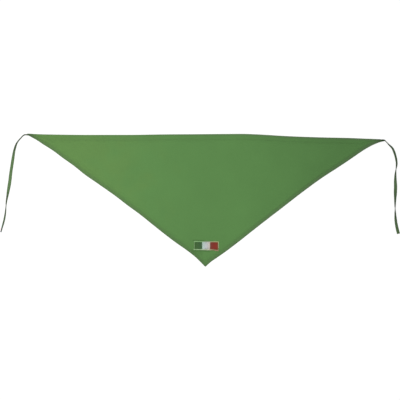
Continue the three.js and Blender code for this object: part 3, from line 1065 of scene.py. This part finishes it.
def tie_rings(rows, length, side, seed):
    """The tape's section at each step along a tie, a little over the floor."""
    at, x, y, turn = tie_route(rows, length, side)
    sway = wander(seed, 14, 50)
    level = np.zeros_like(at)
    turn = turn + SWAY * sway(at, level) * smooth_step(at / SWAY_STARTS)
    way = unit(np.stack([np.gradient(x), np.gradient(y), level], -1))
    sideways = np.stack([-way[:, 1], way[:, 0], level], -1)
    upward = np.array([0, 0, 1.0])
    wide = sideways * np.cos(turn)[:, None] + upward * np.sin(turn)[:, None]
    thick = upward * np.cos(turn)[:, None] - sideways * np.sin(turn)[:, None]
    section = tie_section()
    opening = smooth_step(at / ROOT_OPENS)
    width = (ROOT_WIDTH + (TIE_WIDTH - ROOT_WIDTH) * opening) / TIE_WIDTH
    width = width * (1 + WIDTH_CHANGE * sway(at + 300, level))
    puff = 1 + PUFF * wander(seed + 1, 5, 16)(at, level)
    rings = np.stack([x, y, level], -1)[:, None]
    rings = rings + (section[:, 0] * width[:, None])[..., None] * wide[:, None]
    rings = rings + (section[:, 1] * puff[:, None])[..., None] * thick[:, None]
    lowest = rings[..., 2].min(1)
    hover = FLOOR_GAP + HOVER * (1 + sway(at - 150, level)) * opening
    rings[..., 2] += (hover - lowest)[:, None]
    # How much a stretch stands on its edge, which sets its painted shade.
    stands = smooth_step((np.abs(np.sin(turn)) - STANDS_FROM) / STANDS_BLEND)
    return at, rings, thick, stands


def root_rings(side, first):
    """The end of a tie between the layers of its corner, led back from its first ring."""
    section = tie_section()
    rings = []
    for k in range(ROOT_STEPS):
        inside = ROOT_INSIDE * (1 - k / ROOT_STEPS)
        x = corner_at(side) - side * inside
        y = (neck_edge(x) + low_edge(x)) / 2
        step = 0.4
        lean = math.atan((cloth_top(x, y + step) - cloth_top(x, y - step)) / (2 * step))
        normal = np.array([0, -math.sin(lean), math.cos(lean)])
        wide = side * np.array([0, math.cos(lean), math.sin(lean)])
        thick = np.cross([side, 0, 0], wide)
        depth = LAYER + TIE_THICKNESS * ROOT_DEPTH
        centre = np.array([x, y, cloth_top(x, y)]) - depth * normal
        across = section[:, :1] * ROOT_NARROW * ROOT_WIDTH / TIE_WIDTH
        through = section[:, 1:] * ROOT_SQUEEZE
        rings.append(centre + across * wide + through * thick)
    return np.concatenate([np.array(rings), first])


def make_tie(name, rows, length, side, seed, look, node):
    """A tie with its root. Returns what its stitches need of each step along it."""
    at, rings, thick, along_stands = tie_rings(rows, length, side, seed)
    whole = root_rings(side, rings)
    points, faces = lofted(whole)
    section = tie_section()
    lay = np.zeros(whole.shape)
    inside = len(whole) - len(at)
    before = at[0] - ROOT_INSIDE * (1 - np.arange(inside) / inside)
    lay[..., 0] = np.concatenate([before, at])[:, None]
    lay[..., 1] = section[:, 0]
    from_edge = TIE_WIDTH / 2 - np.abs(section[:, 0])
    edge = np.tile(smooth_step((TIE_EDGE - from_edge) / (TIE_EDGE - 0.1)), len(whole))
    height = whole[..., 2] - whole[..., 2].min(1, keepdims=True)
    height = height / height.max(1, keepdims=True)
    # Painted shade on the standing stretches, strongest along their top.
    top = smooth_step((height - TOP_STARTS) / (TOP_ENDS - TOP_STARTS))
    along = np.concatenate([np.ones(inside), along_stands])[:, None]
    stands = along * (LOW_SHARE + (1 - LOW_SHARE) * top)
    values = {"lay": lay.reshape(-1, 3), "edge": edge, "stands": stands.ravel()}
    add_piece(name, points, faces, look, [node], values)
    return at, rings, thick, along_stands


def make_tie_stitches(ties, look):
    """A row of stitches on both faces of each tape, in from its open edge."""
    chance = np.random.default_rng(33)
    work = ThreadWork()
    seam = TIE_WIDTH / 2 - TIE_SEAM
    section = tie_section()
    upper = int(np.argmin(np.hypot(section[:, 0] - seam, section[:, 1] - TIE_THICKNESS / 2)))
    lower = int(np.argmin(np.hypot(section[:, 0] - seam, section[:, 1] + TIE_THICKNESS / 2)))
    share = np.array([0.04, 0.14, 0.35, 0.65, 0.86, 0.96])
    bow = np.array([-0.12, 0.08, 0.16, 0.16, 0.08, -0.12])
    for at, rings, thick, stands in ties:
        marks = np.arange(TIE_STITCH_START, at[-1] - TIE_STITCH_END, TIE_STITCH)
        for point, face in ((upper, 1), (lower, -1)):
            line = rings[:, point]
            for mark in marks:
                spots = np.minimum(mark + TIE_STITCH * share, at[-1])
                path = np.stack([np.interp(spots, at, line[:, k]) for k in range(3)], -1)
                out = np.stack([np.interp(spots, at, thick[:, k]) for k in range(3)], -1) * face
                path = path + out * bow[:, None]
                # Painted shade on the stitches where the tie stands on its edge.
                shade = 1 - 0.35 * stands[int(mark / TIE_STEP)]
                dye_and_shade = varied(Green.THREAD, SHADE_CHANGE, chance) * shade
                work.add(path, TIE_THREAD, dye_and_shade, sides=5, up=out[2])
    return work.piece("tie_stitches", look, "tape")


def make_tacks(look):
    """Dense stitches that hold each tie in its corner, and the threads left at their ends."""
    chance = np.random.default_rng(44)
    work = ThreadWork()
    bow = np.array([-0.15, 0.1, 0.18, 0.2, 0.2, 0.2, 0.18, 0.1, -0.15])
    for side in (-1, 1):
        corner_x = corner_at(side)
        for k in range(TACKS):
            x = corner_x - side * (TACK_START + TACK_PITCH * k)
            top = neck_edge(x) - TACK_INSET["neck"]
            low = low_edge(x) + TACK_INSET["low"]
            share = np.linspace(0, 1, len(bow))
            py = low + (top - low) * share
            px = x - side * TACK_SLANT * share + 0.05 * chance.uniform(-1, 1, len(bow))
            pz = cloth_top(px, py) + bow
            # The darker thread at the corners is painted shade, darkest at the right.
            dye_and_shade = varied(Green.THREAD, SHADE_CHANGE, chance) * TACK_SHADE[side]
            work.add(np.stack([px, py, pz], -1), SEWING_THREAD, dye_and_shade)
        start_x = corner_x - side * LOOSE_START
        start_y = neck_edge(start_x) - 1.2
        share = np.linspace(0, 1, 16)
        px = start_x - side * LOOSE_LENGTH * share + 1.2 * np.sin(3 * share)
        py = start_y - 2.4 * share + 0.9 * np.sin(5 * share)
        pz = cloth_top(px, py) + 0.22 + 0.9 * np.sin(np.pi * share) * share
        work.add(np.stack([px, py, pz], -1), LOOSE_THREAD, Green.THREAD)
    return work.piece("corner_tacks", look, "cloth")


# The stitched tricolour

def dyed(dyes, share):
    """The dye at a share of the way, mixed from its two neighbours."""
    colours = np.array(list(dyes.values()))
    return np.array([np.interp(share, list(dyes), colours[:, k]) for k in range(3)])


def flag_dip(x, y):
    """How far the stitching is pulled down at the flag's lower right corner."""
    share = (x - FLAG_LOW[0]) / (FLAG_HIGH[0] - FLAG_LOW[0])
    across = smooth_step((share - DIP_FROM) / DIP_BLEND)
    return FLAG_DIP * across * smooth_step((FLAG_LOW[1] + DIP_DEPTH - y) / (DIP_DEPTH - 1))


def pad_share(from_rim):
    """How full the pad is, by how far in from its rim."""
    return np.sqrt(np.clip(from_rim / PAD_RIM[-1], 0, 1))


def padded_area(low, high, rise):
    """A closed pad of underlay threads, rounded off at its rim, over a rectangle of the cloth."""
    rim = np.array(PAD_RIM)
    spans = []
    for k in (0, 1):
        count = max(3, round((high[k] - low[k]) / PAD_STEP))
        inner = np.linspace(low[k] + PAD_STEP, high[k] - PAD_STEP, count)
        spans.append(np.concatenate([low[k] + rim, inner, high[k] - rim[::-1]]))
    x, y = np.meshgrid(spans[0], spans[1][::-1], indexing="ij")
    from_rim = np.minimum.reduce([x - low[0], high[0] - x, y - low[1], high[1] - y])
    y = y - flag_dip(x, y)
    top = cloth_top(x, y) + 0.02 + rise * pad_share(from_rim)
    upper = np.stack([x, y, top], -1)
    lower = np.stack([x, y, cloth_top(x, y) - PAD_SINK], -1)
    return closed_sheet(upper, lower)


def make_field(name, node, dyes, look, slot, seed):
    """A stripe filled with upright rows of stitches that start one after the other."""
    chance = np.random.default_rng(seed)
    low, high = (np.array(corner)[:2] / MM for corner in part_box(node))
    work = ThreadWork()
    points, faces = padded_area(low, high, PAD)
    work.add_body(points, faces, dyed(dyes, 0.5) * 0.8)
    count = round((high[0] - low[0]) / FLAG_PITCH)
    share = np.array([0, 0.08, 0.3, 0.5, 0.7, 0.92, 1])
    bow = np.array([-0.12, 0.04, 0.13, 0.16, 0.13, 0.04, -0.12])
    for k in range(count):
        colour = dyed(dyes, (k + 0.5) / count)
        x = low[0] + (high[0] - low[0]) * (k + 0.5) / count
        offset = (k % 3) / 3 * FILL_STITCH
        marks = np.arange(low[1] - offset, high[1] + FILL_STITCH, FILL_STITCH)
        marks = marks + 0.12 * chance.uniform(-1, 1, len(marks))
        marks = np.unique(np.clip(marks, low[1], high[1]))
        for start, end in zip(marks[:-1], marks[1:]):
            if end - start < SHORTEST_STITCH:
                continue
            py = start + (end - start) * share
            px = x + 0.03 * chance.uniform(-1, 1, len(share))
            pad = PAD * pad_share(np.minimum(py - low[1], high[1] - py))
            py = py - flag_dip(px, py)
            pz = cloth_top(px, py) + pad + bow
            dye_and_shade = varied(colour, 0.1, chance)
            work.add(np.stack([px, py, pz], -1), FLAG_THREAD, dye_and_shade, sides=5, flat=0.75)
    return work.piece(name, look, slot, [node])


def border_sides():
    """The four sides of the flag's stitched border, each with its start, its end, its way out
    and its dyes. The long sides overshoot at the left corners, as they were stitched."""
    inset = BORDER_WIDTH / 2
    left, low = FLAG_LOW[:2] + inset
    right, high = FLAG_HIGH[:2] - inset
    high -= BORDER_DROP
    low -= BORDER_DROP
    start = left - BORDER_OVERSHOOT
    return [
        ((start, high), (right, high), (0, 1), TOP_DYES),
        ((right, high), (right, low), (1, 0), RIGHT_DYES),
        ((start, low), (right, low), (0, -1), BOTTOM_DYES),
        ((left, high - BORDER_SHORT), (left, low + BORDER_SHORT), (-1, 0), LEFT_DYES),
    ]


def make_border(look):
    chance = np.random.default_rng(71)
    work = ThreadWork()
    bow = np.array([-0.14, 0.2, 0.42, 0.5, 0.42, 0.2, -0.14])
    share = np.linspace(-0.5, 0.5, len(bow))
    for start, end, out, dyes in border_sides():
        start, end, out = np.array(start), np.array(end), np.array(out)
        length = np.linalg.norm(end - start)
        count = round(length / FLAG_PITCH)
        bulge = BORDER_BULGE if out[0] > 0 else 0
        usual = BORDER_WIDTH * (LEFT_NARROW if out[0] < 0 else 1)
        slant = (end - start) / length * BORDER_SLANT
        for k in range(count + 1):
            middle = start + (end - start) * k / count
            pulled = [bulge * math.sin(math.pi * k / count), -flag_dip(*middle)]
            width = usual * (1 + 0.08 * chance.uniform(-1, 1))
            path = middle + pulled + share[:, None] * width * out + (2 * share)[:, None] * slant
            pz = cloth_top(path[:, 0], path[:, 1]) + bow
            dye_and_shade = varied(dyed(dyes, k / count), 0.08, chance)
            work.add(np.column_stack([path, pz]), FLAG_THREAD, dye_and_shade, sides=5, flat=0.8)
    return work.piece("flag_border_threads", look, "border_thread", ["flag_border"])


# Floor, light and camera

def make_stage():
    """A white floor and backdrop. Only the camera sees them, so they don't light the cloth."""
    floor_look = Finish("white_floor")
    floor_material = floor_look.done(
        Base_Color=(FLOOR_ALBEDO, FLOOR_ALBEDO, FLOOR_ALBEDO, 1.0),
        Roughness=0.9,
        Emission_Color=(1.0, 1.0, 1.0, 1.0),
        Emission_Strength=FLOOR_GLOW,
    )
    back_look = Finish("white_backdrop")
    back_material = back_look.done(
        Base_Color=(0.0, 0.0, 0.0, 1.0),
        Emission_Color=(1.0, 1.0, 1.0, 1.0),
        Emission_Strength=BACKDROP_GLOW,
    )
    around = np.linspace(0, 2 * np.pi, STAGE_SIDES, endpoint=False)
    ring = np.stack([np.cos(around), np.sin(around), 0 * around], -1)
    floor = bpy.data.meshes.new("floor")
    floor.from_pydata((ring * STAGE_RADIUS).tolist(), [], [list(range(STAGE_SIDES))])
    rises = np.radians(np.linspace(0, BACKDROP_TOP, BACKDROP_RINGS))
    rings = np.stack([ring * math.cos(rise) + [0, 0, math.sin(rise)] for rise in rises])
    points, faces = lofted(rings * STAGE_RADIUS * BACKDROP_SHARE)
    dome = bpy.data.meshes.new("backdrop")
    dome.from_pydata((points - [0, 0, BACKDROP_SUNK]).tolist(), [], faces[:-2] + faces[-1:])
    for mesh, material in ((floor, floor_material), (dome, back_material)):
        mesh.materials.append(material)
        piece = bpy.data.objects.new(mesh.name, mesh)
        piece.visible_diffuse = False
        piece.visible_glossy = False
        piece.visible_shadow = False
        bpy.context.scene.collection.objects.link(piece)


def make_light():
    """A soft fill from all round, weaker below the horizon, and a key to the left."""
    fill = Finish("fill", bpy.data.worlds)
    _, _, rise = fill.parts(fill.node("ShaderNodeTexCoord"))
    strength = rise.over(*HORIZON, FILL_BELOW, FILL)
    glow = fill.node(
        "ShaderNodeBackground", sockets={"Color": (*FILL_COLOUR, 1.0), "Strength": strength}
    )
    fill.node("ShaderNodeOutputWorld", sockets={"Surface": glow})
    bpy.context.scene.world = fill.material
    key = bpy.data.lights.new("key", "AREA")
    key.shape = "SQUARE"
    key.size = KEY_SIZE
    key.energy = KEY_POWER
    key.color = KEY_COLOUR
    lamp = bpy.data.objects.new("key", key)
    lamp.location = KEY_PLACE
    lamp.visible_camera = False
    bpy.context.scene.collection.objects.link(lamp)


def make_camera():
    lens = bpy.data.cameras.new("camera")
    lens.sensor_width = SENSOR
    lens.lens = SENSOR * CAMERA_HEIGHT / VIEW_WIDTH
    lens.clip_end = 100
    camera = bpy.data.objects.new("camera", lens)
    camera.location = (*CAMERA_PLACE, CAMERA_HEIGHT)
    camera.rotation_euler = (0, 0, math.radians(CAMERA_TURN))
    bpy.context.scene.collection.objects.link(camera)
    bpy.context.scene.camera = camera
    bpy.context.scene.view_settings.view_transform = "Standard"


make_camera()
make_light()
make_stage()

cloth_look = cloth_finish()
tape_look = tape_finish()
sewing_look = thread_finish("green_thread_sewn", 0.6, 0.3)
panel = make_panel(cloth_look)
hems = make_hems(cloth_look)
make_hem_stitches(sewing_look)
ties = [
    make_tie("left_tie_tape", LEFT_TIE_LINE, LEFT_TIE, -1, 61, tape_look, "tie_left"),
    make_tie("right_tie_tape", RIGHT_TIE_LINE, RIGHT_TIE, 1, 62, tape_look, "tie_right"),
]
make_tie_stitches(ties, sewing_look)
make_tacks(sewing_look)

for name, node, dyes, slot, seed in (
    ("green_stripe_threads", "flag_green", GREEN_DYES, "green_thread", 81),
    ("white_stripe_threads", "flag_white", WHITE_DYES, "white_thread", 82),
    ("red_stripe_threads", "flag_red", RED_DYES, "red_thread", 83),
):
    make_field(name, node, dyes, thread_finish("satin_" + slot, 0.5, 0.4), slot, seed)
make_border(thread_finish("satin_border_thread", 0.5, 0.4))

depths = NECK_POINTS - LOW_POINTS
sheet_area = float(((depths[1:] + depths[:-1]) / 2 * np.diff(COLUMNS)).sum()) * MM * MM
